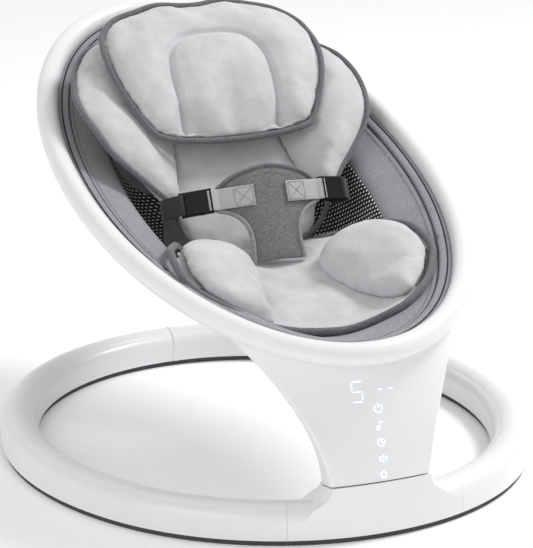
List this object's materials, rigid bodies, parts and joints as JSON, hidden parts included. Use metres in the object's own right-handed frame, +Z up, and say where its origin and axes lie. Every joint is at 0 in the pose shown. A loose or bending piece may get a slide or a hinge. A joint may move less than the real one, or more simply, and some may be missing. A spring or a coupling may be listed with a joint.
{
  "type": "baby swing",
  "caption": "Baby swing with an oval floor ring, a swaying pedestal with a light-up touch panel, and an oval tilted seat with a padded insert, head pillow and waist harness",
  "frame": {"origin": "on the floor under the middle of the object's bounding box", "axes": "+Z up, +Y towards the head end of the seat, -Y the front with the pedestal and its panel, +X to the right seen from the front"},
  "size_m": [0.6, 0.7282, 0.4774],
  "materials": {
    "white_shell": "satin",
    "grip_rubber": "matte",
    "dark_plastic": "matte",
    "bright_steel": "satin",
    "circuit_board": "satin",
    "bearing_plastic": "satin",
    "lamp_light": "gloss",
    "dark_heather": "woven",
    "grey_heather": "woven",
    "black_mesh": "woven",
    "light_plush": "soft",
    "light_webbing": "woven",
    "dark_webbing": "woven",
    "buckle_black": "gloss"
  },
  "bodies": {
    "base": {"base_front_housing": "white_shell", "base_front_floor_plate": "dark_plastic", "base_front_grip_strip": "grip_rubber", "housing_screws": "bright_steel", "base_arm_left": "white_shell", "base_arm_right": "white_shell", "base_arm_left_floor_plate": "dark_plastic", "base_arm_right_floor_plate": "dark_plastic", "base_arm_left_grip_strip": "grip_rubber", "base_arm_right_grip_strip": "grip_rubber", "arm_spigot_left": "dark_plastic", "arm_spigot_right": "dark_plastic", "arm_spigot_rear": "dark_plastic", "power_socket": "dark_plastic", "motor_board": "circuit_board", "pivot_bush_upper": "bearing_plastic", "pivot_bush_lower": "bearing_plastic", "drive_motor": "bright_steel", "motor_bracket": "dark_plastic"},
    "pinion": {"motor_pinion": "bearing_plastic"},
    "snap_left": {"snap_button_left": "dark_plastic"},
    "snap_right": {"snap_button_right": "dark_plastic"},
    "snap_rear": {"snap_button_rear": "dark_plastic"},
    "buckle_left": {"buckle_prongs_left": "buckle_black"},
    "buckle_right": {"buckle_prongs_right": "buckle_black"},
    "seat": {"sector_gear": "bearing_plastic", "pivot_shaft": "bright_steel", "shaft_retaining_ring": "bright_steel", "pedestal_front_shell": "white_shell", "pedestal_rear_shell": "white_shell", "seat_yoke": "bright_steel", "display_board": "circuit_board", "display_lamps": "lamp_light", "speaker": "dark_plastic", "seat_rim_upper": "white_shell", "seat_rim_lower": "white_shell", "seat_fabric_band": "dark_heather", "seat_sling": "grey_heather", "mesh_panel_left": "black_mesh", "mesh_panel_right": "black_mesh", "insert_back_pad": "light_plush", "insert_seat_pad": "light_plush", "head_pillow": "light_plush", "upper_bolster_left": "light_plush", "upper_bolster_right": "light_plush", "thigh_bolster_left": "light_plush", "thigh_bolster_right": "light_plush", "crotch_pad": "grey_heather", "webbing_tab_left": "light_webbing", "webbing_tab_right": "light_webbing", "buckle_socket_left": "buckle_black", "buckle_socket_right": "buckle_black", "waist_strap_left": "dark_webbing", "waist_strap_right": "dark_webbing"}
  },
  "joints": [
    {"name": "sway", "type": "hinge", "parent": "base", "child": "seat", "pos_m": [0, -0.3224, 0.0548], "axis": [0, 0.1908, 0.9816], "range_deg": [-12, 12]},
    {"name": "pinion_spin", "type": "hinge", "parent": "base", "child": "pinion", "pos_m": [0.04125, -0.3224, 0.0548], "axis": [0, 0.1908, 0.9816], "range_deg": [-55, 55]},
    {"name": "buckle_left_release", "type": "slide", "parent": "seat", "child": "buckle_left", "axis": [-0.8949, 0.4047, -0.1879], "range_m": [0, 0.018]},
    {"name": "buckle_right_release", "type": "slide", "parent": "seat", "child": "buckle_right", "axis": [0.8949, 0.4047, -0.1879], "range_m": [0, 0.018]},
    {"name": "snap_left_press", "type": "slide", "parent": "base", "child": "snap_left", "axis": [0, 0, 1], "range_m": [0, 0.004], "stiffness_N_per_m": 400},
    {"name": "snap_right_press", "type": "slide", "parent": "base", "child": "snap_right", "axis": [0, 0, 1], "range_m": [0, 0.004], "stiffness_N_per_m": 400},
    {"name": "snap_rear_press", "type": "slide", "parent": "base", "child": "snap_rear", "axis": [0, 0, 1], "range_m": [0, 0.004], "stiffness_N_per_m": 400}
  ],
  "couplings": [
    {"joint": "pinion_spin", "follows": "sway", "ratio": -4.5}
  ]
}
